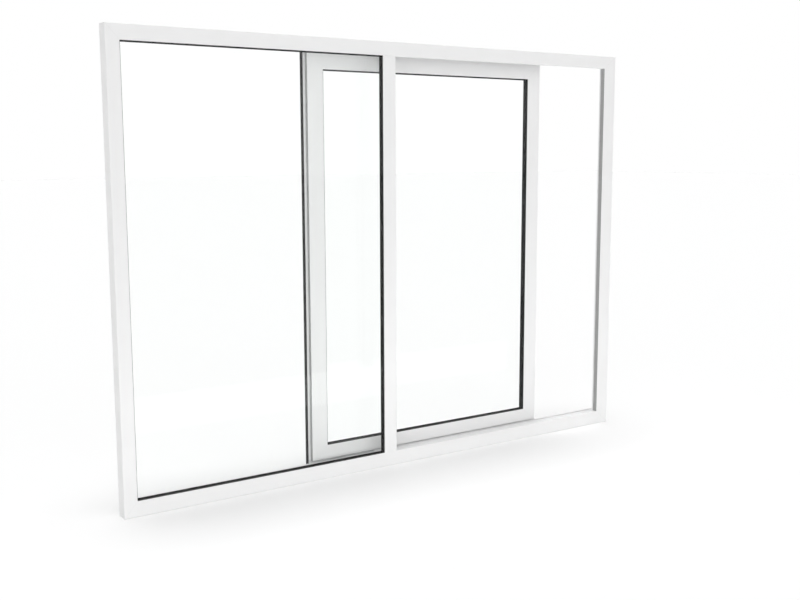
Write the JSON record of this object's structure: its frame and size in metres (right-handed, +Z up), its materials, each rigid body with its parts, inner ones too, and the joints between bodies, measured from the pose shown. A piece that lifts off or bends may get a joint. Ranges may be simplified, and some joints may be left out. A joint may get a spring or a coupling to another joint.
{
  "type": "sliding patio door",
  "caption": "White glass sliding patio door with a fixed glazed bay on the left and one glazed sash that slides along the inner side of the frame.",
  "frame": {"origin": "middle of the sill underside, halfway through the depth of the outer frame", "axes": "X along the width, from the fixed bay towards the doorway; Y from outside to inside; Z up"},
  "size_m": [2.92, 0.15, 2.1],
  "materials": {
    "white_frame": "smooth white satin plastic profile",
    "white_handle": "white powder coat",
    "clear_glass": "clear insulating glass",
    "black_seal": "matt black gasket",
    "rail_metal": "natural anodised aluminium",
    "housing_metal": "zinc plated steel",
    "grey_nylon": "grey nylon"
  },
  "bodies": {
    "frame": {"doorway_seal": "black_seal", "fixed_bead_bottom": "white_frame", "fixed_bead_left": "white_frame", "fixed_bead_right": "white_frame", "fixed_bead_top": "white_frame", "fixed_edge_seal": "black_seal", "fixed_inner_pane": "clear_glass", "fixed_outer_pane": "clear_glass", "guide_cover": "white_frame", "guide_rail": "rail_metal", "guide_stop_left": "grey_nylon", "guide_stop_right": "grey_nylon", "head": "white_frame", "inner_sill": "white_frame", "left_jamb": "white_frame", "mullion": "white_frame", "right_jamb": "white_frame", "running_rail": "rail_metal", "sill": "white_frame"},
    "sash": {"carriage_left": "housing_metal", "carriage_right": "housing_metal", "guide_shoe_left": "grey_nylon", "guide_shoe_right": "grey_nylon", "meeting_seal": "black_seal", "pull_handle": "white_handle", "roller_left": "grey_nylon", "roller_right": "grey_nylon", "sash_bead_bottom": "white_frame", "sash_bead_left": "white_frame", "sash_bead_right": "white_frame", "sash_bead_top": "white_frame", "sash_bottom_rail": "white_frame", "sash_edge_seal": "black_seal", "sash_inner_pane": "clear_glass", "sash_left_stile": "white_frame", "sash_outer_pane": "clear_glass", "sash_right_stile": "white_frame", "sash_top_rail": "white_frame"}
  },
  "joints": [
    {"name": "sash_slide", "type": "slide", "parent": "frame", "child": "sash", "axis": [1, 0, 0], "range_m": [-0.9486, 0.4131]}
  ]
}
